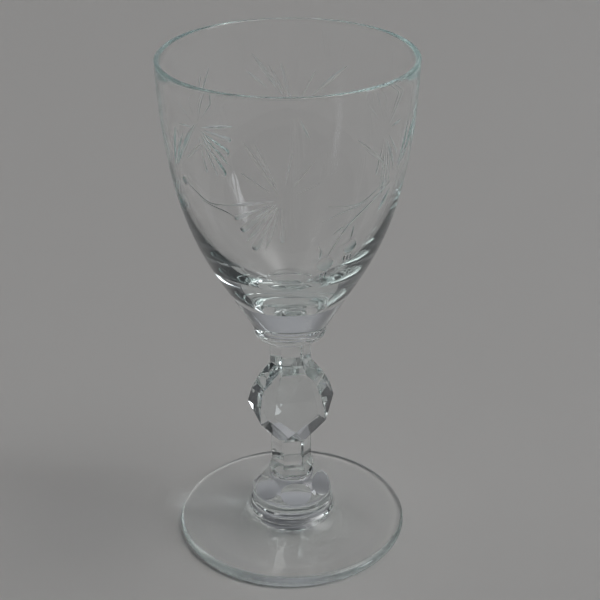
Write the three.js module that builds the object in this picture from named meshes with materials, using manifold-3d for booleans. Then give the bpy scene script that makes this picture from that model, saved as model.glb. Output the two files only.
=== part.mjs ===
// A stemmed wine glass in clear cut glass: a deep tulip bowl, a six-sided cut stem with a faceted
// knop, and a round foot. Millimetres, z up, with the origin at the centre of the foot's underside.
// The sections are stacked on one axis and meet on flat faces, as the gathers of hot glass do.
import * as THREE from "three";
import { ConvexGeometry } from "three/addons/geometries/ConvexGeometry.js";
import { mergeVertices } from "three/addons/utils/BufferGeometryUtils.js";
import Module from "manifold-3d";

const wasm = await Module();
wasm.setup();

// Heights of the flat joints between neighbouring sections.
const joint = {
  footTop: 7,
  pedestalTop: 18.9,
  collarTop: 23,
  lowerNeckTop: 31.5,
  knopTop: 57,
  upperNeckTop: 64,
  mereseTop: 71,
  rim: 150,
};

const foot = {
  radius: 34.7,
  edgeHeight: 3.1,
  edgeRound: 1.2,
  rollOff: 2.5, // how far in the edge starts to roll over
  topRadius: 13.4,
  topHandles: [
    [24, 4],
    [17.5, 4.6],
  ],
  restingWidth: 6,
  hollow: 0.8,
};

const pedestal = {
  ringRadius: 12.5,
  ringTop: 9.2,
  ringRound: 0.5, // height of the rounding over the ring's upper edge
  flare: 0.9,
  domeCentre: [5, 11.2],
  domeRadius: 7.1,
  domeEnd: 71, // degrees up the dome, where the notch under the collar starts
  flatTilt: 41,
  flatDepth: 0.85,
};

const collar = {
  notchRadius: 6.3,
  notchHeight: 0.5,
  lowerRadius: 6.95,
  lipHeight: 1,
  lipRise: 0.3,
  upperRadius: 6.5,
  chamfer: 1,
};

const neckRadius = 6.1;

const knop = {
  cornerRadius: 13,
  cornerHeight: 44.3,
  pointRadius: 11.3,
  pointHeight: 38.7,
  shoulder: [
    { radius: 11.8, height: 48.5 },
    { radius: 9.4, height: 53 },
  ],
};

const merese = { radius: 10.5, height: 3.2, edgeRound: 0.9, seamRadius: 11.6 };

const bowl = {
  baseRadius: 11.6,
  bodyRadius: 15.1,
  bodyHeight: 77,
  outerHandles: [
    [23.3, 91.6],
    [34, 103.7],
  ],
  rimRadius: 35.3,
  lip: 1.5,
  innerHandles: [
    [31.7, 104.2],
    [21.8, 91.6],
  ],
  wellRadius: 7,
  wellHeight: 80.2,
};

const sides = 6;
const cutPhase = THREE.MathUtils.degToRad(8); // the angle of one edge of the six-sided cutting
const halfSide = Math.PI / sides;
const turns = 72; // flats around each turned section
const wallSteps = 16; // flats along each side of the bowl's wall
const domeSteps = 10; // flats up the pedestal's dome
const footSteps = 12; // flats across the foot's upper face
const edgeSteps = 6; // flats over the rolled edge of the foot
const slabReach = 400; // size of the cutting slabs, past the widest section

function glassMaterial(color) {
  return new THREE.MeshStandardMaterial({
    color,
    roughness: 0.04,
    metalness: 0,
    transparent: true,
    opacity: 0.35,
  });
}

function namedMesh(name, geometry, color) {
  const mesh = new THREE.Mesh(geometry, glassMaterial(color));
  mesh.name = name;
  return mesh;
}

// A turned section. Its profile runs from the axis, up the outside, and back to the axis.
function turned(profile) {
  const points = profile.map(([radius, height]) => new THREE.Vector2(radius, height));
  return new THREE.LatheGeometry(points, turns).rotateX(Math.PI / 2);
}

// Points at the edges of the six-sided cutting, or midway between the edges.
function cutRing(radius, height, turn = 0) {
  return Array.from({ length: sides }, (_, i) => {
    const angle = cutPhase + turn + 2 * halfSide * i;
    return new THREE.Vector3(radius * Math.cos(angle), radius * Math.sin(angle), height);
  });
}

function faceted(...rings) {
  return new ConvexGeometry(rings.flat());
}

function curvePoints(start, startHandle, endHandle, end, steps) {
  const curve = new THREE.CubicBezierCurve(
    new THREE.Vector2(...start),
    new THREE.Vector2(...startHandle),
    new THREE.Vector2(...endHandle),
    new THREE.Vector2(...end),
  );
  return curve.getPoints(steps).map((p) => [p.x, p.y]);
}

function arcPoints(centre, radius, fromDegrees, toDegrees, steps) {
  return Array.from({ length: steps + 1 }, (_, i) => {
    const degrees = fromDegrees + ((toDegrees - fromDegrees) * i) / steps;
    const angle = THREE.MathUtils.degToRad(degrees);
    return [centre[0] + radius * Math.cos(angle), centre[1] + radius * Math.sin(angle)];
  });
}

function solidOf(geometry) {
  const bare = geometry.clone();
  bare.deleteAttribute("normal");
  bare.deleteAttribute("uv");
  const merged = mergeVertices(bare, 1e-3);
  return new wasm.Manifold(
    new wasm.Mesh({
      numProp: 3,
      vertProperties: merged.attributes.position.array,
      triVerts: new Uint32Array(merged.index.array),
    }),
  );
}

function geometryOf(solid) {
  const mesh = solid.getMesh();
  const geometry = new THREE.BufferGeometry();
  geometry.setAttribute("position", new THREE.BufferAttribute(mesh.vertProperties, 3));
  geometry.setIndex(new THREE.BufferAttribute(mesh.triVerts, 1));
  return geometry.toNonIndexed();
}

// The bowl: thick and solid at its base, thinning to a fire-polished lip.
function makeBowl() {
  const lipRadius = bowl.lip / 2;
  const lipCentre = [bowl.rimRadius - lipRadius, joint.rim - lipRadius];
  const outside = curvePoints(
    [bowl.bodyRadius, bowl.bodyHeight],
    ...bowl.outerHandles,
    [bowl.rimRadius, lipCentre[1]],
    wallSteps,
  );
  const lip = arcPoints(lipCentre, lipRadius, 0, 180, 6);
  const inside = curvePoints(
    [bowl.rimRadius - bowl.lip, lipCentre[1]],
    ...bowl.innerHandles,
    [bowl.wellRadius, bowl.wellHeight],
    wallSteps,
  );
  return turned([
    [0, joint.mereseTop],
    [bowl.baseRadius, joint.mereseTop],
    ...outside,
    ...lip.slice(1, -1),
    ...inside,
    [0, bowl.wellHeight],
  ]);
}

// The merese: a flat button of glass between the bowl and the stem, its underside drawn in to the
// six-sided neck.
function makeMerese() {
  const edgeCentre = [merese.radius - merese.edgeRound, joint.mereseTop - merese.height];
  const edge = arcPoints(edgeCentre, merese.edgeRound, -90, 45, 5);
  return turned([
    [0, joint.upperNeckTop],
    [neckRadius, joint.upperNeckTop],
    ...edge,
    [merese.seamRadius, joint.mereseTop],
    [0, joint.mereseTop],
  ]);
}

function makeUpperNeck() {
  return faceted(cutRing(neckRadius, joint.knopTop), cutRing(neckRadius, joint.upperNeckTop));
}

// The knop: a ball cut with six upper facets and six lower ones, which meet in a zigzag.
function makeKnop() {
  return faceted(
    cutRing(neckRadius, joint.lowerNeckTop),
    cutRing(knop.pointRadius, knop.pointHeight, halfSide),
    cutRing(knop.cornerRadius, knop.cornerHeight),
    ...knop.shoulder.map((ring) => cutRing(ring.radius, ring.height)),
    cutRing(neckRadius, joint.knopTop),
  );
}

function makeLowerNeck() {
  return faceted(cutRing(neckRadius, joint.collarTop), cutRing(neckRadius, joint.lowerNeckTop));
}

// The collar: a six-sided step whose lower lip overhangs the notch above the pedestal.
function makeCollar() {
  const lip = joint.pedestalTop + collar.lipHeight;
  return faceted(
    cutRing(collar.notchRadius, joint.pedestalTop),
    cutRing(collar.lowerRadius, lip),
    cutRing(collar.lowerRadius, lip + collar.lipRise),
    cutRing(collar.upperRadius, joint.collarTop - collar.chamfer),
    cutRing(neckRadius, joint.collarTop),
  );
}

// The slab that grinds one sloping flat on the pedestal: everything outside that flat.
function flatCutter(index) {
  const [centreRadius, centreHeight] = pedestal.domeCentre;
  const slab = new THREE.BoxGeometry(slabReach, slabReach, slabReach);
  slab.translate(slabReach / 2 + pedestal.domeRadius - pedestal.flatDepth, 0, 0);
  slab.rotateY(-THREE.MathUtils.degToRad(pedestal.flatTilt));
  slab.translate(centreRadius, 0, centreHeight);
  slab.rotateZ(cutPhase + halfSide * (2 * index + 1));
  return solidOf(slab);
}

// The pedestal: a turned ring and dome on the foot, ground with six oval flats, and drawn in to a
// notch under the collar.
function makePedestal() {
  const dome = arcPoints(pedestal.domeCentre, pedestal.domeRadius, 0, pedestal.domeEnd, domeSteps);
  const blank = turned([
    [0, joint.footTop],
    [pedestal.ringRadius + pedestal.flare, joint.footTop],
    [pedestal.ringRadius, joint.footTop + pedestal.flare],
    [pedestal.ringRadius, pedestal.ringTop],
    [dome[0][0], pedestal.ringTop + pedestal.ringRound],
    ...dome,
    [collar.notchRadius, joint.pedestalTop - collar.notchHeight],
    [collar.notchRadius, joint.pedestalTop],
    [0, joint.pedestalTop],
  ]);
  let solid = solidOf(blank);
  for (let i = 0; i < sides; i++) {
    solid = solid.subtract(flatCutter(i));
  }
  return geometryOf(solid);
}

// The foot: a round disc that rises towards the pedestal, resting on a ring round a shallow hollow.
function makeFoot() {
  const rest = foot.radius - foot.edgeRound;
  const lower = arcPoints([rest, foot.edgeRound], foot.edgeRound, -90, 0, 4);
  const upper = arcPoints([0, 0], 1, 0, 82, edgeSteps).map(([across, up]) => [
    foot.radius - foot.rollOff * (1 - across),
    foot.edgeRound + (foot.edgeHeight - foot.edgeRound) * up,
  ]);
  const top = [foot.topRadius, joint.footTop];
  const face = curvePoints(upper.at(-1), ...foot.topHandles, top, footSteps);
  return turned([
    [0, foot.hollow],
    [rest - foot.restingWidth, 0],
    ...lower,
    ...upper.slice(1),
    ...face.slice(1),
    [0, joint.footTop],
  ]);
}

const wineGlass = new THREE.Group();
wineGlass.name = "wine_glass";
wineGlass.add(
  namedMesh("foot", makeFoot(), 0xdfe8e4),
  namedMesh("pedestal", makePedestal(), 0xd9e4df),
  namedMesh("stem_collar", makeCollar(), 0xe2eae7),
  namedMesh("lower_neck", makeLowerNeck(), 0xe4ebe9),
  namedMesh("knop", makeKnop(), 0xdde6e2),
  namedMesh("upper_neck", makeUpperNeck(), 0xe4ebe9),
  namedMesh("merese", makeMerese(), 0xe0e8e5),
  namedMesh("bowl", makeBowl(), 0xe6eceb),
);

export default wineGlass;
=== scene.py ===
import math

import bmesh
import bpy
from mathutils import Matrix, Vector


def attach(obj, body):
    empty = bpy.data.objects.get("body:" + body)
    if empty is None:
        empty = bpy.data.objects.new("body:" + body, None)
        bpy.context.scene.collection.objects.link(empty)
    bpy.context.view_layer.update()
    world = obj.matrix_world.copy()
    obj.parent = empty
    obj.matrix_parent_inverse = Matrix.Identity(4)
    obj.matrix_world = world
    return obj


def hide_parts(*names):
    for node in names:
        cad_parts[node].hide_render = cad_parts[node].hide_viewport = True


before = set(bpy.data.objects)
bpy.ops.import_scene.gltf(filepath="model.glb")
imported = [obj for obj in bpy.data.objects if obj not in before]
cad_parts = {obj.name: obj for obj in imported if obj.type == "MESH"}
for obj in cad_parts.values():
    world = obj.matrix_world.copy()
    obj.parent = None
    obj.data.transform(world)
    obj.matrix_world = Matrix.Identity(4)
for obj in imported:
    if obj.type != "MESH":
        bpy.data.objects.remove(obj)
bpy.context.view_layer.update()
mm = 0.001

# The same joint heights and cutting angle as the CAD sections, in millimetres and degrees.
joints = dict(
    footTop=7.0,
    pedestalTop=18.9,
    collarTop=23.0,
    lowerNeckTop=31.5,
    knopTop=57.0,
    upperNeckTop=64.0,
    mereseTop=71.0,
    rim=150.0,
)
cutting = dict(
    sides=6,
    phase=8.0,
    neckRadius=6.1,
    crispness=160,  # the higher, the sharper the corners of a cut section
)
weld = dict(
    gap=0.01,  # half the hair's breadth left between two welded sections
    reach=0.05,  # how near a weld's height a flat face counts as melted into its neighbour
    levelFrom=0.99,  # and how level it has to be
)
weldGap = weld["gap"]

glass = dict(
    bend=1.52,  # how strongly soda glass bends light
    fusedBend=1.0,  # none where two sections have melted together
    depthTint=(0.70, 0.92, 0.90),  # the faint green of thick soda glass
    depthDensity=5.0,
    cutRoughness=0.30,  # the engraving is left ground, not polished
    wornRoughness=0.35,  # fine scratches where the foot stands
    wornGrain=2600.0,
    wobbleSize=85.0,
    wobbleDetail=1.0,
    wobbleHeight=0.012,  # the slight unevenness of glass worked by hand
)


def faceMark(tree, name):
    mark = tree.nodes.new("ShaderNodeAttribute")
    mark.attribute_name = name
    return mark.outputs["Fac"]


def mathNode(tree, operation, *sources):
    # each source is a socket to link or a plain number
    node = tree.nodes.new("ShaderNodeMath")
    node.operation = operation
    for socket, source in zip(node.inputs, sources):
        if isinstance(source, bpy.types.NodeSocket):
            tree.links.new(source, socket)
        else:
            socket.default_value = source
    return node.outputs[0]


def glassMaterial(name):
    g = glass
    material = bpy.data.materials.new(name)
    material.use_nodes = True
    tree = material.node_tree
    surface = tree.nodes["Principled BSDF"]
    surface.inputs["Base Color"].default_value = (1, 1, 1, 1)
    surface.inputs["Transmission Weight"].default_value = 1.0

    # faces melted into the next section don't bend light
    bend = tree.nodes.new("ShaderNodeMix")
    bend.inputs["A"].default_value = g["bend"]
    bend.inputs["B"].default_value = g["fusedBend"]
    tree.links.new(faceMark(tree, "fused"), bend.inputs["Factor"])
    tree.links.new(bend.outputs["Result"], surface.inputs["IOR"])

    # polished all over, but matt in the engraving and scratched where it stands
    place = tree.nodes.new("ShaderNodeTexCoord")
    grain = tree.nodes.new("ShaderNodeTexNoise")
    grain.inputs["Scale"].default_value = g["wornGrain"]
    tree.links.new(place.outputs["Object"], grain.inputs["Vector"])
    scratches = mathNode(tree, "MULTIPLY", faceMark(tree, "worn"), grain.outputs["Fac"])
    scratched = mathNode(tree, "MULTIPLY", scratches, g["wornRoughness"])
    rough = mathNode(tree, "MULTIPLY_ADD", faceMark(tree, "ground"), g["cutRoughness"], scratched)
    tree.links.new(rough, surface.inputs["Roughness"])

    wobble = tree.nodes.new("ShaderNodeTexNoise")
    wobble.inputs["Scale"].default_value = g["wobbleSize"]
    wobble.inputs["Detail"].default_value = g["wobbleDetail"]
    tree.links.new(place.outputs["Object"], wobble.inputs["Vector"])
    bump = tree.nodes.new("ShaderNodeBump")
    bump.inputs["Distance"].default_value = g["wobbleHeight"] * mm
    tree.links.new(wobble.outputs["Fac"], bump.inputs["Height"])
    tree.links.new(bump.outputs["Normal"], surface.inputs["Normal"])

    absorb = tree.nodes.new("ShaderNodeVolumeAbsorption")
    absorb.inputs["Color"].default_value = (*g["depthTint"], 1)
    absorb.inputs["Density"].default_value = g["depthDensity"]
    tree.links.new(absorb.outputs["Volume"], tree.nodes["Material Output"].inputs["Volume"])
    return material


clearGlass = glassMaterial("clear soda glass")
print("glass mixed")


def bezier(p0, p1, p2, p3, steps):
    points = []
    for i in range(steps + 1):
        t = i / steps
        a, b, c, d = (1 - t) ** 3, 3 * t * (1 - t) ** 2, 3 * t * t * (1 - t), t ** 3
        points.append((a * p0[0] + b * p1[0] + c * p2[0] + d * p3[0],
                       a * p0[1] + b * p1[1] + c * p2[1] + d * p3[1]))
    return points


def arc(centre, radius, start, end, steps):
    return [(centre[0] + radius * math.cos(math.radians(start + (end - start) * i / steps)),
             centre[1] + radius * math.sin(math.radians(start + (end - start) * i / steps)))
            for i in range(steps + 1)]


def markFaces(mesh, name, test):
    layer = mesh.attributes.get(name) or mesh.attributes.new(name, "FLOAT", "FACE")
    for polygon, mark in zip(mesh.polygons, layer.data):
        mark.value = 1.0 if test(polygon) else 0.0


def onWeld(heights):
    def test(polygon):
        level = abs(polygon.normal.z) > weld["levelFrom"]
        return level and any(abs(polygon.center.z - z * mm) < weld["reach"] * mm for z in heights)

    return test


def newPiece(name, bm, welds, sharpAngle):
    mesh = bpy.data.meshes.new(name)
    bm.to_mesh(mesh)
    bm.free()
    mesh.materials.append(clearGlass)
    for polygon in mesh.polygons:
        polygon.use_smooth = True
    mesh.set_sharp_from_angle(angle=math.radians(sharpAngle))
    markFaces(mesh, "fused", onWeld(welds))
    piece = bpy.data.objects.new(name, mesh)
    bpy.context.scene.collection.objects.link(piece)
    return piece


def ringPoints(section, height, count):
    points = []
    for i in range(count):
        angle = 2 * math.pi * i / count
        radius = section(angle)
        points.append(Vector((radius * math.cos(angle), radius * math.sin(angle), height)) * mm)
    return points


def ringWall(bm, rings, count):
    # rings: (section function, height), joined one above the other
    loops = [[bm.verts.new(p) for p in ringPoints(section, height, count)] for section, height in rings]
    for low, high in zip(loops, loops[1:]):
        for i in range(count):
            j = (i + 1) % count
            bm.faces.new((low[i], low[j], high[j], high[i]))
    return loops


def stackRings(name, rings, count, welds, sharpAngle=30):
    # a wall of rings, whose first and last are closed with a fan
    bm = bmesh.new()
    loops = ringWall(bm, rings, count)
    for loop, height, up in ((loops[0], rings[0][1], False), (loops[-1], rings[-1][1], True)):
        centre = bm.verts.new((0, 0, height * mm))
        for i in range(count):
            j = (i + 1) % count
            bm.faces.new((loop[i], loop[j], centre) if up else (loop[j], loop[i], centre))
    bm.normal_update()
    return newPiece(name, bm, welds, sharpAngle)


def roundSection(radius):
    return lambda angle: radius


def cutSection(radius):
    # a regular hexagon with slightly rounded corners, radius at its corners
    apothem = radius * math.cos(math.pi / cutting["sides"])
    phase = math.radians(cutting["phase"]) + math.pi / cutting["sides"]
    crispness = cutting["crispness"]

    def section(angle):
        total = 0.0
        for i in range(cutting["sides"]):
            total += max(0.0, math.cos(angle - phase - 2 * math.pi * i / cutting["sides"])) ** crispness
        return apothem / total ** (1 / crispness)

    return section


def blendSection(a, b, share):
    return lambda angle: a(angle) * (1 - share) + b(angle) * share


bowlSizes = dict(
    baseRadius=11.6,
    grooveDepth=0.35,  # the fine groove left where the bowl was stuck to the merese
    bodyRadius=15.1,
    bodyHeight=77.0,
    outerHandles=((23.3, 91.6), (34.0, 103.7)),
    rimRadius=35.3,
    lip=1.5,
    innerHandles=((31.7, 104.2), (21.8, 91.6)),
    wellRadius=7.0,  # the flat bottom inside the bowl
    wellHeight=80.2,
    wallSteps=48,
    lipSteps=12,
    segments=720,
)


def bowlOutside():
    s = bowlSizes
    return bezier((s["bodyRadius"], s["bodyHeight"]), *s["outerHandles"],
                  (s["rimRadius"], joints["rim"] - s["lip"] / 2), s["wallSteps"])


def makeBowl():
    # solid at its base; the profile runs up the outside, over a rounded lip and down the inside
    s = bowlSizes
    lipRadius = s["lip"] / 2
    lipCentre = (s["rimRadius"] - lipRadius, joints["rim"] - lipRadius)
    lip = arc(lipCentre, lipRadius, 0, 180, s["lipSteps"])
    inside = bezier((s["rimRadius"] - s["lip"], lipCentre[1]), *s["innerHandles"],
                    (s["wellRadius"], s["wellHeight"]), s["wallSteps"])
    base = joints["mereseTop"] + weldGap
    groove = s["grooveDepth"]
    foot = [(s["baseRadius"] - groove, base), (s["baseRadius"] + groove / 2, base + groove)]
    profile = foot + bowlOutside() + lip[1:-1] + inside
    rings = [(roundSection(r), z) for r, z in profile]
    return stackRings("tulip_bowl", rings, s["segments"], [base])


# The engraving: three flowers and three stars alternate round the wall, with sprays beside the front
# flower. Places are millimetres along the wall from the middle of each motif: across to the right,
# then up.
engraving = dict(
    repeats=3,
    flowerAngle=-92.5,
    starAngle=-32.5,
    height=122.5,
    wall=34.3,  # the wall's radius there, which turns millimetres across into degrees
    throwFrom=60.0,  # points are thrown onto the wall from this far out
    grooveDepth=0.6,  # as a share of the half width
    steps=22,
    # how a stroke swells: share of its length, share of its half width
    blunt=((0.0, 0.10), (0.3, 0.42), (0.65, 0.80), (0.9, 1.0), (0.98, 0.82), (1.0, 0.35)),
    pointed=((0.0, 0.10), (0.25, 0.62), (0.55, 1.0), (0.8, 0.72), (1.0, 0.10)),
    petals=(  # direction, start, end, half width, blunt end
        (121, 2.0, 18.5, 0.44, False),
        (113, 3.2, 16.5, 0.38, False),
        (147, 3.5, 13.0, 0.32, False),
        (192, 2.2, 15.5, 0.50, False),
        (207, 3.4, 15.5, 0.70, True),
        (221, 2.4, 16.2, 0.95, True),
        (231, 4.2, 17.5, 0.78, False),
        (241, 2.6, 18.6, 1.00, True),
        (251, 3.8, 17.0, 0.52, False),
        (269, 2.4, 13.2, 0.62, True),
        (78, 3.4, 15.5, 0.15, False),
        (52, 3.0, 14.0, 0.14, False),
        (24, 3.4, 11.5, 0.13, False),
    ),
    spindles=(  # direction, start, end, half width
        (55, 4.6, 21.6, 0.66),
        (62, 3.4, 16.0, 0.38),
        (75, 2.4, 15.2, 0.56),
        (42, 10.6, 19.2, 0.40),
        (138, 7.2, 22.0, 0.56),
        (118, 4.0, 14.0, 0.30),
        (236, 3.0, 10.2, 0.44),
    ),
    sprigs=(  # across, up and half width, to the left of one star and mirrored beside the other
        (
            (-3.2, 0.6, 0.06),
            (-8.4, -1.6, 0.14),
            (-13.8, -3.9, 0.15),
            (-19.4, -3.5, 0.12),
            (-23.5, -2.8, 0.05),
        ),
        ((-10.6, -3.9, 0.06), (-15.4, -4.7, 0.14), (-20.1, -5.6, 0.13), (-25.0, -7.6, 0.05)),
    ),
    stems=(  # the hanging stems, cut only on the right of the front flower
        (
            (-2.6, -0.6, 0.10),
            (-8.2, -3.7, 0.17),
            (-16.0, -9.2, 0.19),
            (-20.0, -15.0, 0.17),
            (-21.8, -18.8, 0.06),
        ),
        ((-17.4, -9.8, 0.05), (-19.2, -10.4, 0.14), (-21.0, -11.9, 0.05)),
        ((-14.4, -10.3, 0.06), (-14.6, -12.2, 0.24), (-14.7, -14.2, 0.07)),
        ((-25.2, -15.0, 0.10), (-24.6, -17.0, 0.42), (-24.6, -19.4, 0.12)),
    ),
    berries=((-14.3, -17.2, 2.2), (-22.4, -21.6, 2.6)),  # across, up, radius
    leftBerries=((-1.9, -9.1, 2.1), (4.8, -0.2, 1.1)),
    berryDepth=0.17,  # as a share of the radius
    berrySegments=96,
    berryRings=64,
    prongs=(  # across, up, length of the short cuts that hang from the berries
        (-15.6, -19.9, 2.3),
        (-14.3, -20.1, 2.5),
        (-13.0, -19.9, 2.0),
        (-23.2, -24.7, 2.2),
        (-21.5, -24.7, 2.2),
    ),
    prongHalfWidth=0.26,
    prongShape=((0.0, 0.5), (0.4, 1.0), (1.0, 0.25)),  # swells as the strokes do
    groundFrom=0.012,  # a face this far inside the wall is a ground one
    groundTo=0.9,
    crispFrom=20,  # degrees between two faces whose border stays crisp
)


def strokePoint(across, up, halfWidth, middle):
    e = engraving
    return (middle + math.degrees(across / e["wall"]), e["height"] + up, halfWidth)


def straightStroke(direction, start, end, halfWidth, blunt, middle):
    # wide near the far end for a blunt petal, widest halfway for a pointed one
    shape = engraving["blunt" if blunt else "pointed"]
    angle = math.radians(direction)
    points = []
    for share, width in shape:
        reach = start + (end - start) * share
        across, up = reach * math.cos(angle), reach * math.sin(angle)
        points.append(strokePoint(across, up, halfWidth * width, middle))
    return points


def starPlan():
    # one flower and one star of spindles
    e = engraving
    strokes = []
    for direction, start, end, halfWidth, blunt in e["petals"]:
        strokes.append(straightStroke(direction, start, end, halfWidth, blunt, e["flowerAngle"]))
    for direction, start, end, halfWidth in e["spindles"]:
        strokes.append(straightStroke(direction, start, end, halfWidth, False, e["starAngle"]))
    return strokes


def sprayPlan():
    # sprigs from the two stars beside the front flower; the right-hand ones carry hanging stems
    e = engraving
    right = e["flowerAngle"] + 180 / e["repeats"]
    left = e["flowerAngle"] - 180 / e["repeats"]
    strokes = []
    for side, middle, stems in ((1, right, e["sprigs"] + e["stems"]), (-1, left, e["sprigs"])):
        strokes += [[strokePoint(side * a, up, w, middle) for a, up, w in stem] for stem in stems]
    for across, up, length in e["prongs"]:
        strokes.append([strokePoint(across, up - length * share, e["prongHalfWidth"] * width, right)
                        for share, width in e["prongShape"]])
    berries = [strokePoint(*berry, right) for berry in e["berries"]]
    berries += [strokePoint(*berry, left) for berry in e["leftBerries"]]
    return strokes, berries


def planMesh(name, lines):
    points, edges = [], []
    for line in lines:
        first = len(points)
        points += line
        edges += [(i, i + 1) for i in range(first, len(points) - 1)]
    mesh = bpy.data.meshes.new(name)
    mesh.from_pydata(points, edges, [])
    plan = bpy.data.objects.new(name, mesh)
    bpy.context.scene.collection.objects.link(plan)
    return plan


def newTree(name, sockets):
    tree = bpy.data.node_groups.new(name, "GeometryNodeTree")
    tree.interface.new_socket("Geometry", in_out="INPUT", socket_type="NodeSocketGeometry")
    for label, kind in sockets:
        tree.interface.new_socket(label, in_out="INPUT", socket_type="NodeSocket" + kind)
    tree.interface.new_socket("Geometry", in_out="OUTPUT", socket_type="NodeSocketGeometry")
    return tree, tree.nodes.new("NodeGroupInput"), tree.nodes.new("NodeGroupOutput")


def treeNode(tree, kind, settings=None, **inputs):
    # an input is given by its name, or by its number as i0, i1, i2
    node = tree.nodes.new(kind)
    for key, value in (settings or {}).items():
        setattr(node, key, value)
    for label, source in inputs.items():
        numbered = label[0] == "i" and label[1:].isdigit()
        socket = node.inputs[int(label[1:]) if numbered else label]
        if isinstance(source, bpy.types.NodeSocket):
            tree.links.new(source, socket)
        else:
            socket.default_value = source
    return node


def scaled(tree, vector, factor):
    node = treeNode(tree, "ShaderNodeVectorMath", dict(operation="SCALE"), i0=vector, Scale=factor)
    return node.outputs[0]


def onWall(tree, given):
    # turns a plan point (degrees, height, size) into a place on the bowl's outer wall, and its normal
    throw = engraving["throwFrom"] * mm
    position = treeNode(tree, "GeometryNodeInputPosition")
    parts = treeNode(tree, "ShaderNodeSeparateXYZ", i0=position.outputs[0])
    angle = mathNode(tree, "RADIANS", parts.outputs["X"])
    cosine = mathNode(tree, "COSINE", angle)
    sine = mathNode(tree, "SINE", angle)
    height = mathNode(tree, "MULTIPLY", parts.outputs["Y"], mm)
    size = mathNode(tree, "MULTIPLY", parts.outputs["Z"], mm)
    outward = treeNode(tree, "ShaderNodeCombineXYZ", i0=cosine, i1=sine).outputs[0]
    axisPoint = treeNode(tree, "ShaderNodeCombineXYZ", i2=height)
    source = treeNode(tree, "ShaderNodeVectorMath", i0=axisPoint.outputs[0],
                      i1=scaled(tree, outward, throw))
    bowl = treeNode(tree, "GeometryNodeObjectInfo", i0=given.outputs["Bowl"])
    ray = treeNode(tree, "GeometryNodeRaycast")
    tree.links.new(bowl.outputs["Geometry"], ray.inputs["Target Geometry"])
    tree.links.new(source.outputs[0], ray.inputs["Source Position"])
    tree.links.new(scaled(tree, outward, -1.0), ray.inputs["Ray Direction"])
    ray.inputs["Ray Length"].default_value = throw
    return ray.outputs["Hit Position"], ray.outputs["Hit Normal"], size


def storeField(tree, geometry, name, kind, value):
    settings = dict(data_type=kind, domain="POINT")
    store = treeNode(tree, "GeometryNodeStoreNamedAttribute", settings, i0=geometry)
    store.inputs["Name"].default_value = name
    tree.links.new(value, [s for s in store.inputs if s.name == "Value" and s.enabled][0])
    return store.outputs[0]


def readField(tree, name, kind):
    node = treeNode(tree, "GeometryNodeInputNamedAttribute", dict(data_type=kind))
    node.inputs["Name"].default_value = name
    return [s for s in node.outputs if s.enabled][0]


def repeatRound(tree, given, cutters, finished):
    # copies the cutters round the axis and makes them one mesh
    points = treeNode(tree, "GeometryNodePoints", i0=given.outputs["Repeats"])
    index = treeNode(tree, "GeometryNodeInputIndex")
    share = mathNode(tree, "DIVIDE", index.outputs[0], given.outputs["Repeats"])
    turned = treeNode(tree, "ShaderNodeCombineXYZ", i2=mathNode(tree, "MULTIPLY", share, 2 * math.pi))
    copies = treeNode(tree, "GeometryNodeInstanceOnPoints", i0=points.outputs[0], Instance=cutters)
    tree.links.new(turned.outputs[0], copies.inputs["Rotation"])
    real = treeNode(tree, "GeometryNodeRealizeInstances", i0=copies.outputs[0])
    material = treeNode(tree, "GeometryNodeSetMaterial", i0=real.outputs[0],
                        Material=given.outputs["Material"])
    tree.links.new(material.outputs[0], finished.inputs["Geometry"])


def grooveTree():
    # sweeps a lozenge as deep as its Depth along each line, so that the wall is left with a V groove
    tree, given, finished = newTree("engraved grooves", (
        ("Bowl", "Object"),
        ("Depth", "Float"),
        ("Steps", "Int"),
        ("Repeats", "Int"),
        ("Material", "Material"),
    ))
    lines = treeNode(tree, "GeometryNodeMeshToCurve", i0=given.outputs["Geometry"])
    smooth = treeNode(tree, "GeometryNodeCurveSplineType", dict(spline_type="CATMULL_ROM"),
                      i0=lines.outputs[0])
    even = treeNode(tree, "GeometryNodeResampleCurve", i0=smooth.outputs[0], Count=given.outputs["Steps"])
    place, normal, size = onWall(tree, given)
    stored = storeField(tree, even.outputs[0], "half_width", "FLOAT", size)
    stored = storeField(tree, stored, "wall_normal", "FLOAT_VECTOR", normal)
    moved = treeNode(tree, "GeometryNodeSetPosition", i0=stored, Position=place)
    facing = treeNode(tree, "GeometryNodeSetCurveNormal", dict(mode="FREE"), i0=moved.outputs[0],
                      Normal=readField(tree, "wall_normal", "FLOAT_VECTOR"))
    side = treeNode(tree, "ShaderNodeCombineXYZ", i0=given.outputs["Depth"])
    otherDepth = mathNode(tree, "MULTIPLY", given.outputs["Depth"], -1.0)
    otherSide = treeNode(tree, "ShaderNodeCombineXYZ", i0=otherDepth)
    wheel = treeNode(tree, "GeometryNodeCurvePrimitiveQuadrilateral", dict(mode="POINTS"))
    tree.links.new(side.outputs[0], wheel.inputs["Point 1"])
    wheel.inputs["Point 2"].default_value = (0, 1, 0)
    tree.links.new(otherSide.outputs[0], wheel.inputs["Point 3"])
    wheel.inputs["Point 4"].default_value = (0, -1, 0)
    sweep = treeNode(tree, "GeometryNodeCurveToMesh", i0=facing.outputs[0], i1=wheel.outputs[0],
                     Scale=readField(tree, "half_width", "FLOAT"))
    sweep.inputs["Fill Caps"].default_value = True
    repeatRound(tree, given, sweep.outputs[0], finished)
    return tree


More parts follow.
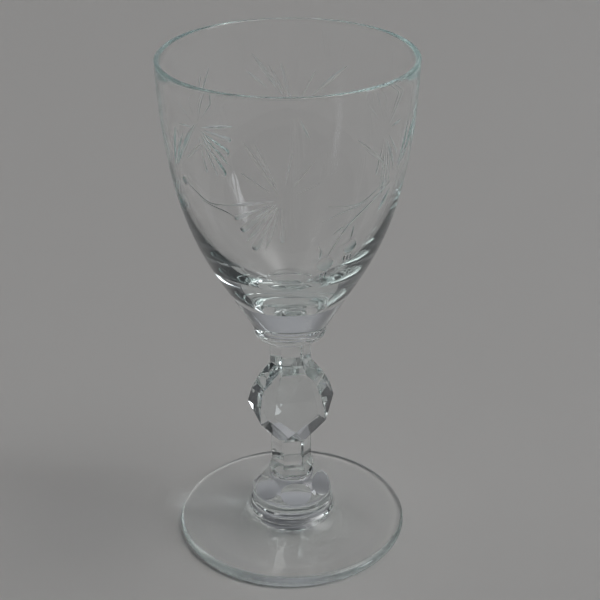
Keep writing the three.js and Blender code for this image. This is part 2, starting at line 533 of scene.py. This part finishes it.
def berryTree():
    tree, given, finished = newTree("engraved berries", (
        ("Bowl", "Object"),
        ("Depth", "Float"),
        ("Segments", "Int"),
        ("Rings", "Int"),
        ("Repeats", "Int"),
        ("Material", "Material"),
    ))
    place, normal, size = onWall(tree, given)
    stored = storeField(tree, given.outputs["Geometry"], "berry_radius", "FLOAT", size)
    stored = storeField(tree, stored, "wall_normal", "FLOAT_VECTOR", normal)
    moved = treeNode(tree, "GeometryNodeSetPosition", i0=stored, Position=place)
    radius = readField(tree, "berry_radius", "FLOAT")
    # a round wheel of this radius sinks by Depth of the berry's radius: (1 + d * d) / 2d
    depth = given.outputs["Depth"]
    ratio = mathNode(tree, "DIVIDE", mathNode(tree, "MULTIPLY_ADD", depth, depth, 1.0),
                     mathNode(tree, "MULTIPLY", depth, 2.0))
    wheelRadius = mathNode(tree, "MULTIPLY", ratio, radius)
    lift = mathNode(tree, "SUBTRACT", wheelRadius, mathNode(tree, "MULTIPLY", depth, radius))
    offset = scaled(tree, readField(tree, "wall_normal", "FLOAT_VECTOR"), lift)
    outside = treeNode(tree, "GeometryNodeSetPosition", i0=moved.outputs[0], Offset=offset)
    ball = treeNode(tree, "GeometryNodeMeshUVSphere", Segments=given.outputs["Segments"],
                    Rings=given.outputs["Rings"], Radius=1.0)
    balls = treeNode(tree, "GeometryNodeInstanceOnPoints", i0=outside.outputs[0],
                     Instance=ball.outputs["Mesh"], Scale=wheelRadius)
    repeatRound(tree, given, balls.outputs[0], finished)
    return tree


def runTree(plan, tree, values):
    # fills the named inputs, evaluates the tree, and returns the result as a plain mesh
    modifier = plan.modifiers.new(tree.name, "NODES")
    modifier.node_group = tree
    for item in tree.interface.items_tree:
        if item.in_out == "INPUT" and item.name in values:
            modifier[item.identifier] = values[item.name]
    evaluated = plan.evaluated_get(bpy.context.evaluated_depsgraph_get())
    mesh = bpy.data.meshes.new_from_object(evaluated)
    bpy.data.objects.remove(plan)
    cutters = bpy.data.objects.new(tree.name, mesh)
    bpy.context.scene.collection.objects.link(cutters)
    return cutters


def cutAway(piece, cutters):
    modifier = piece.modifiers.new("engraving", "BOOLEAN")
    modifier.operation = "DIFFERENCE"
    modifier.solver = "MANIFOLD"
    modifier.object = cutters
    evaluated = piece.evaluated_get(bpy.context.evaluated_depsgraph_get())
    mesh = bpy.data.meshes.new_from_object(evaluated)
    piece.modifiers.remove(modifier)
    before = piece.data
    piece.data = mesh
    bpy.data.meshes.remove(before)
    bpy.data.objects.remove(cutters)


def wallRadius(outside, height):
    for (lowRadius, low), (highRadius, high) in zip(outside, outside[1:]):
        if low <= height <= high:
            return lowRadius + (highRadius - lowRadius) * (height - low) / (high - low)
    return None


def markCuts(bowl):
    # the ground faces lie a little inside the wall's own surface; their borders stay crisp
    outside = bowlOutside()
    crisp = math.radians(engraving["crispFrom"])
    bm = bmesh.new()
    bm.from_mesh(bowl.data)
    ground = bm.faces.layers.float.get("ground") or bm.faces.layers.float.new("ground")
    for face in bm.faces:
        centre = face.calc_center_median() / mm
        radius = wallRadius(outside, centre.z)
        depth = radius - math.hypot(centre.x, centre.y) if radius else 0.0
        face[ground] = 1.0 if engraving["groundFrom"] < depth < engraving["groundTo"] else 0.0
        face.smooth = True
    for edge in bm.edges:
        if len(edge.link_faces) == 2:
            a, b = edge.link_faces
            edge.smooth = a[ground] == b[ground] and edge.calc_face_angle(0.0) < crisp
    bm.to_mesh(bowl.data)
    bm.free()


def engraveBowl(bowl):
    e = engraving
    common = {"Bowl": bowl, "Material": clearGlass}
    wheelCut = {**common, "Depth": e["grooveDepth"], "Steps": e["steps"]}
    berryBall = {"Segments": e["berrySegments"], "Rings": e["berryRings"]}
    berryCut = {**common, **berryBall, "Depth": e["berryDepth"]}
    stars = starPlan()
    stems, berries = sprayPlan()
    grooves = grooveTree()
    cutters = [
        runTree(planMesh("star plan", stars), grooves, {**wheelCut, "Repeats": e["repeats"]}),
        runTree(planMesh("spray plan", stems), grooves, {**wheelCut, "Repeats": 1}),
        runTree(planMesh("berry plan", [[b] for b in berries]), berryTree(), {**berryCut, "Repeats": 1}),
    ]
    for cutter in cutters:
        cutAway(bowl, cutter)
    markCuts(bowl)
    markFaces(bowl.data, "fused", onWeld([joints["mereseTop"] + weldGap]))
    strokeCount = len(stars) * e["repeats"] + len(stems)
    print("bowl engraved with", strokeCount, "strokes and", len(berries), "berries")


mereseSizes = dict(
    radius=10.5,
    edgeRound=0.9,
    edgeHeight=67.8,
    edgeEnd=50,  # degrees round the edge, where the wall up to the seam starts
    edgeSteps=12,
    seamRadius=11.6,
    neckRise=0.4,
    throat=((0.35, 6.4, 65.0), (0.8, 7.3, 65.9), (1.0, 8.4, 66.6)),  # how round, radius, height
    segments=192,
)


def makeMerese():
    # the six-sided neck opens into a round button, which widens to the seam under the bowl
    s = mereseSizes
    neck = cutSection(cutting["neckRadius"])
    edgeCentre = (s["radius"] - s["edgeRound"], s["edgeHeight"])
    edge = arc(edgeCentre, s["edgeRound"], -90, s["edgeEnd"], s["edgeSteps"])
    rings = [(neck, joints["upperNeckTop"] + weldGap), (neck, joints["upperNeckTop"] + s["neckRise"])]
    for share, radius, height in s["throat"]:
        rings.append((blendSection(neck, roundSection(radius), share), height))
    rings += [(roundSection(r), z) for r, z in edge]
    groove = bowlSizes["grooveDepth"]
    rings.append((roundSection(s["seamRadius"] - groove / 2), joints["mereseTop"] - groove))
    rings.append((roundSection(s["seamRadius"] - groove), joints["mereseTop"] - weldGap))
    return stackRings("button_merese", rings, s["segments"], [rings[0][1], rings[-1][1]])


neckSizes = dict(
    segments=192,
)


def makeNeck(name, low, high):
    neck = cutSection(cutting["neckRadius"])
    rings = [(neck, low + weldGap), (neck, high - weldGap)]
    return stackRings(name, rings, neckSizes["segments"], [low + weldGap, high - weldGap])


knopSizes = dict(
    cornerRadius=13.0,
    cornerHeight=44.3,
    pointRadius=11.3,
    pointHeight=38.7,
    shoulder=((11.8, 48.5), (9.4, 53.0)),
    softEdge=0.18,  # the slight rounding that polishing leaves on the edges between facets
    softSteps=2,
    keptSharp=0.1,  # edges this near the two welds aren't rounded
    oneFacet=1,  # degrees within which faces are one facet
    sharpAngle=8,
)


def makeKnop():
    # six upper facets and six lower ones, which meet in a zigzag
    s = knopSizes
    neck = cutting["neckRadius"]
    half = math.pi / cutting["sides"]
    bm = bmesh.new()

    def ring(radius, height, turn=0.0):
        for i in range(cutting["sides"]):
            angle = math.radians(cutting["phase"]) + turn + 2 * half * i
            bm.verts.new(Vector((radius * math.cos(angle), radius * math.sin(angle), height)) * mm)

    ring(neck, joints["lowerNeckTop"] + weldGap)
    ring(s["pointRadius"], s["pointHeight"], half)
    ring(s["cornerRadius"], s["cornerHeight"])
    for radius, height in s["shoulder"]:
        ring(radius, height)
    ring(neck, joints["knopTop"] - weldGap)
    bmesh.ops.convex_hull(bm, input=bm.verts)
    bmesh.ops.dissolve_limit(bm, angle_limit=math.radians(s["oneFacet"]), verts=bm.verts, edges=bm.edges)
    low = (joints["lowerNeckTop"] + s["keptSharp"]) * mm
    high = (joints["knopTop"] - s["keptSharp"]) * mm
    edges = [e for e in bm.edges
             if not all(v.co.z < low for v in e.verts) and not all(v.co.z > high for v in e.verts)]
    bmesh.ops.bevel(bm, geom=edges, offset=s["softEdge"] * mm, segments=s["softSteps"], profile=0.5,
                    affect="EDGES")
    bm.normal_update()
    return newPiece("cut_knop", bm, [joints["lowerNeckTop"], joints["knopTop"]], s["sharpAngle"])


collarSizes = dict(
    notchRadius=6.3,
    lowerRadius=6.95,
    lipHeight=1.0,
    lipRise=0.3,
    lipDraft=0.02,
    upperRadius=6.5,
    chamfer=1.0,
    sharpAngle=20,
    segments=192,
)


def makeCollar():
    # a hexagonal step whose lower lip overhangs the notch above the pedestal
    s = collarSizes
    neck = cutSection(cutting["neckRadius"])
    low = joints["pedestalTop"] + weldGap
    rings = [(cutSection(s["notchRadius"]), low),
             (cutSection(s["lowerRadius"]), low + s["lipHeight"]),
             (cutSection(s["lowerRadius"] - s["lipDraft"]), low + s["lipHeight"] + s["lipRise"]),
             (cutSection(s["upperRadius"]), joints["collarTop"] - s["chamfer"]),
             (neck, joints["collarTop"] - weldGap)]
    return stackRings("hex_collar", rings, s["segments"], [rings[0][1], rings[-1][1]], s["sharpAngle"])


pedestalSizes = dict(
    ringRadius=12.5,
    ringTop=9.2,
    flare=((0.9, weldGap), (0.25, 0.5), (0.0, 1.2)),  # out from the ring, up from the foot
    creaseIn=0.1,
    creaseRise=0.2,
    creaseTop=(0.05, 0.45),  # out from the dome, up from the ring
    domeCentre=(5.0, 11.2),
    domeRadius=7.1,
    domeEnd=71,  # degrees up the dome, where the notch under the collar starts
    domeSteps=24,
    notchHandles=((0.3, 0.25), (0.0, 0.5)),  # out from the notch, up from the dome and down from the top
    notchSteps=6,
    flatTilt=41,
    flatDepth=0.85,
    sharpAngle=12,
    segments=192,
)


def pedestalProfile():
    # a flared ring, a crease, the dome, and the notch under the collar
    s = pedestalSizes
    ring = s["ringRadius"]
    notch = collarSizes["notchRadius"]
    top = joints["pedestalTop"] - weldGap
    dome = arc(s["domeCentre"], s["domeRadius"], 0, s["domeEnd"], s["domeSteps"])
    (flareOut, flareUp), (topOut, topDown) = s["notchHandles"]
    handles = (notch + flareOut, dome[-1][1] + flareUp), (notch + topOut, top - topDown)
    profile = [(ring + out, joints["footTop"] + up) for out, up in s["flare"]]
    profile += [(ring, s["ringTop"]),
                (ring - s["creaseIn"], s["ringTop"] + s["creaseRise"]),
                (dome[0][0] + s["creaseTop"][0], s["ringTop"] + s["creaseTop"][1])]
    return profile + dome + bezier(dome[-1], *handles, (notch, top), s["notchSteps"])[1:]


def makePedestal():
    # a turned dome; six shallow flats are ground round it, each an oval
    s = pedestalSizes
    half = math.pi / cutting["sides"]
    bm = bmesh.new()
    loops = ringWall(bm, [(roundSection(r), z) for r, z in pedestalProfile()], s["segments"])
    bm.faces.new(list(reversed(loops[0])))
    bm.faces.new(loops[-1])
    tilt = math.radians(s["flatTilt"])
    reach = s["domeRadius"] - s["flatDepth"]
    for i in range(cutting["sides"]):
        angle = math.radians(cutting["phase"]) + half * (2 * i + 1)
        outward = Vector((math.cos(angle), math.sin(angle), 0))
        normal = outward * math.cos(tilt) + Vector((0, 0, 1)) * math.sin(tilt)
        centre = outward * s["domeCentre"][0] + Vector((0, 0, s["domeCentre"][1]))
        geometry = bm.verts[:] + bm.edges[:] + bm.faces[:]
        cut = bmesh.ops.bisect_plane(bm, geom=geometry, plane_co=(centre + normal * reach) * mm,
                                     plane_no=normal, clear_outer=True, dist=1e-8)
        edges = [g for g in cut["geom_cut"] if isinstance(g, bmesh.types.BMEdge)]
        bmesh.ops.contextual_create(bm, geom=edges)
    bmesh.ops.recalc_face_normals(bm, faces=bm.faces)
    return newPiece("cut_pedestal", bm, [joints["footTop"], joints["pedestalTop"]], s["sharpAngle"])


footSizes = dict(
    radius=34.7,
    edgeHeight=3.1,
    edgeRound=1.2,
    edgeSteps=8,
    rollOff=2.5,  # how far in the edge starts to roll over
    rollEnd=82,  # degrees, where the upper face takes over
    rollSteps=16,
    topHandles=((24.0, 4.0), (17.5, 4.6)),
    topRadius=13.4,
    topSteps=40,
    restingWidth=6.0,
    wornBelow=0.2,  # the ring it rests on is finely scratched
    wornFacing=0.9,  # and how squarely it faces down
    hollow=0.8,
    pinhole=0.05,  # radius of the fan that closes the hollow
    segments=240,
)


def makeFoot():
    s = footSizes
    rest = s["radius"] - s["edgeRound"]
    profile = [(s["pinhole"], s["hollow"]), (rest - s["restingWidth"], 0.0)]
    profile += arc((rest, s["edgeRound"]), s["edgeRound"], -90, 0, s["edgeSteps"])
    rise = s["edgeHeight"] - s["edgeRound"]
    for step in range(1, s["rollSteps"] + 1):  # the edge rolls over into the upper face
        angle = math.radians(step * s["rollEnd"] / s["rollSteps"])
        inset = s["rollOff"] * (1 - math.cos(angle))
        profile.append((s["radius"] - inset, s["edgeRound"] + rise * math.sin(angle)))
    top = (s["topRadius"], joints["footTop"] - weldGap)
    profile += bezier(profile[-1], *s["topHandles"], top, s["topSteps"])[1:]
    rings = [(roundSection(r), z) for r, z in profile]
    piece = stackRings("round_foot", rings, s["segments"], [joints["footTop"]])

    def standsOn(polygon):
        return polygon.normal.z < -s["wornFacing"] and polygon.center.z < s["wornBelow"] * mm

    markFaces(piece.data, "worn", standsOn)
    return piece


bowl = makeBowl()
engraveBowl(bowl)
pieces = [
    (bowl, "bowl", "bowl_glass"),
    (makeMerese(), "merese", "bowl_glass"),
    (makeNeck("neck_above_knop", joints["knopTop"], joints["upperNeckTop"]), "upper_neck", "stem_glass"),
    (makeKnop(), "knop", "stem_glass"),
    (makeNeck("neck_below_knop", joints["collarTop"], joints["lowerNeckTop"]), "lower_neck", "stem_glass"),
    (makeCollar(), "stem_collar", "stem_glass"),
    (makePedestal(), "pedestal", "stem_glass"),
    (makeFoot(), "foot", "foot_glass"),
]
for piece, node, slot in pieces:
    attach(piece, "root")
    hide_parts(node)
print(len(pieces), "glass sections set on the frame")

studio = dict(
    floorTone=(0.72, 0.71, 0.70),
    floorRoughness=0.8,
    floorShine=0.2,
    floorHalf=6.0,  # metres
    floorDrop=0.05,
    horizon=(0.07, 0.07, 0.074),
    zenith=(0.02, 0.021, 0.023),
    horizonTop=0.10,
    zenithFrom=0.36,
    glows=(  # direction it comes from, narrowness, tone
        ((0.0, 1.0, 0.1), 3.6, (0.25, 0.25, 0.265)),  # low behind the glass
        ((0.5, 0.0, 0.87), 26.0, (3.75, 3.72, 3.65)),  # the main light, high on the right
        ((-0.6, 0.35, 0.72), 20.0, (0.8, 0.8, 0.8)),  # a weaker one, high on the left
    ),
    worldStrength=1.0,
    windowPlace=(1.9, -0.5, 0.8),  # metres
    windowTarget=(0.0, 0.0, 0.07),
    windowSize=(0.5, 0.8),
    windowPower=5,
    windowTone=(0.93, 0.97, 1.0),
    bounces=256,  # light runs down inside the wall by many reflections
)


def makeFloor():
    half = studio["floorHalf"]
    mesh = bpy.data.meshes.new("studio_floor")
    low = -studio["floorDrop"] * mm
    corners = [(-half, -half, low), (half, -half, low), (half, half, low), (-half, half, low)]
    mesh.from_pydata(corners, [], [(0, 1, 2, 3)])
    material = bpy.data.materials.new("pale paper")
    material.use_nodes = True
    surface = material.node_tree.nodes["Principled BSDF"]
    surface.inputs["Base Color"].default_value = (*studio["floorTone"], 1)
    surface.inputs["Roughness"].default_value = studio["floorRoughness"]
    surface.inputs["Specular IOR Level"].default_value = studio["floorShine"]
    mesh.materials.append(material)
    floor = bpy.data.objects.new("studio_floor", mesh)
    bpy.context.scene.collection.objects.link(floor)


def makeWorld():
    # a dim horizon, a darker room above it, and soft glows for the lamps and the wall behind
    world = bpy.data.worlds.new("studio light")
    bpy.context.scene.world = world
    world.use_nodes = True
    tree = world.node_tree
    background = tree.nodes["Background"]
    coordinates = tree.nodes.new("ShaderNodeTexCoord")
    separate = tree.nodes.new("ShaderNodeSeparateXYZ")
    ramp = tree.nodes.new("ShaderNodeValToRGB")
    ramp.color_ramp.interpolation = "EASE"
    ramp.color_ramp.elements[0].position = studio["horizonTop"]
    ramp.color_ramp.elements[0].color = (*studio["horizon"], 1)
    ramp.color_ramp.elements[1].position = studio["zenithFrom"]
    ramp.color_ramp.elements[1].color = (*studio["zenith"], 1)
    tree.links.new(coordinates.outputs["Generated"], separate.inputs["Vector"])
    tree.links.new(separate.outputs["Z"], ramp.inputs["Fac"])
    light = ramp.outputs["Color"]
    for comesFrom, narrow, tone in studio["glows"]:
        facing = tree.nodes.new("ShaderNodeVectorMath")
        facing.operation = "DOT_PRODUCT"
        facing.inputs[1].default_value = Vector(comesFrom).normalized()
        tree.links.new(coordinates.outputs["Generated"], facing.inputs[0])
        front = mathNode(tree, "MAXIMUM", facing.outputs["Value"], 0.0)
        glow = mathNode(tree, "POWER", front, narrow)
        mix = tree.nodes.new("ShaderNodeMix")
        mix.data_type = "RGBA"
        mix.blend_type = "ADD"
        mix.inputs[7].default_value = (*tone, 1)  # the two colour inputs are numbers 6 and 7
        tree.links.new(glow, mix.inputs["Factor"])
        tree.links.new(light, mix.inputs[6])
        light = mix.outputs[2]
    tree.links.new(light, background.inputs["Color"])
    background.inputs["Strength"].default_value = studio["worldStrength"]


def makeWindow():
    light = bpy.data.lights.new("right window", "AREA")
    light.shape = "RECTANGLE"
    light.size, light.size_y = studio["windowSize"]
    light.energy = studio["windowPower"]
    light.color = studio["windowTone"]
    lamp = bpy.data.objects.new("right window", light)
    place = Vector(studio["windowPlace"])
    lamp.location = place
    lamp.rotation_euler = (Vector(studio["windowTarget"]) - place).to_track_quat("-Z", "Y").to_euler()
    bpy.context.scene.collection.objects.link(lamp)


def setLightPaths():
    # clear glass seen through glass goes dark without deep paths, and dotted with the usual sampling
    cycles = bpy.context.scene.cycles
    cycles.use_denoising = True
    cycles.sampling_pattern = "TABULATED_SOBOL"
    cycles.max_bounces = studio["bounces"]
    cycles.transmission_bounces = studio["bounces"]
    cycles.glossy_bounces = studio["bounces"]
    cycles.transparent_max_bounces = studio["bounces"]
    cycles.blur_glossy = 0
    cycles.sample_clamp_indirect = 0


cameraSizes = dict(
    lens=81.44,
    sensor=36,
    elevation=27.515,  # degrees
    roll=0.346,
    distance=391.56,
    target=(2.906, 0.0, 76.90),
    clipNear=0.01,  # metres
    clipFar=100,
)


def makeCamera():
    c = cameraSizes
    elevation, roll = math.radians(c["elevation"]), math.radians(c["roll"])
    back = Vector((0, -math.cos(elevation), math.sin(elevation)))
    right, up = Vector((1, 0, 0)), Vector((0, math.sin(elevation), math.cos(elevation)))
    across = right * math.cos(roll) - up * math.sin(roll)
    upright = right * math.sin(roll) + up * math.cos(roll)
    place = (Vector(c["target"]) + back * c["distance"]) * mm
    data = bpy.data.cameras.new("camera")
    data.lens = c["lens"]
    data.sensor_width = c["sensor"]
    data.clip_start, data.clip_end = c["clipNear"], c["clipFar"]
    camera = bpy.data.objects.new("camera", data)
    turn = Matrix((across, upright, back)).transposed().to_4x4()
    camera.matrix_world = Matrix.Translation(place) @ turn
    bpy.context.scene.collection.objects.link(camera)
    bpy.context.scene.camera = camera


makeFloor()
makeWorld()
makeWindow()
setLightPaths()
bpy.context.scene.view_settings.view_transform = "Standard"
print("studio lit")
makeCamera()
print("camera placed")
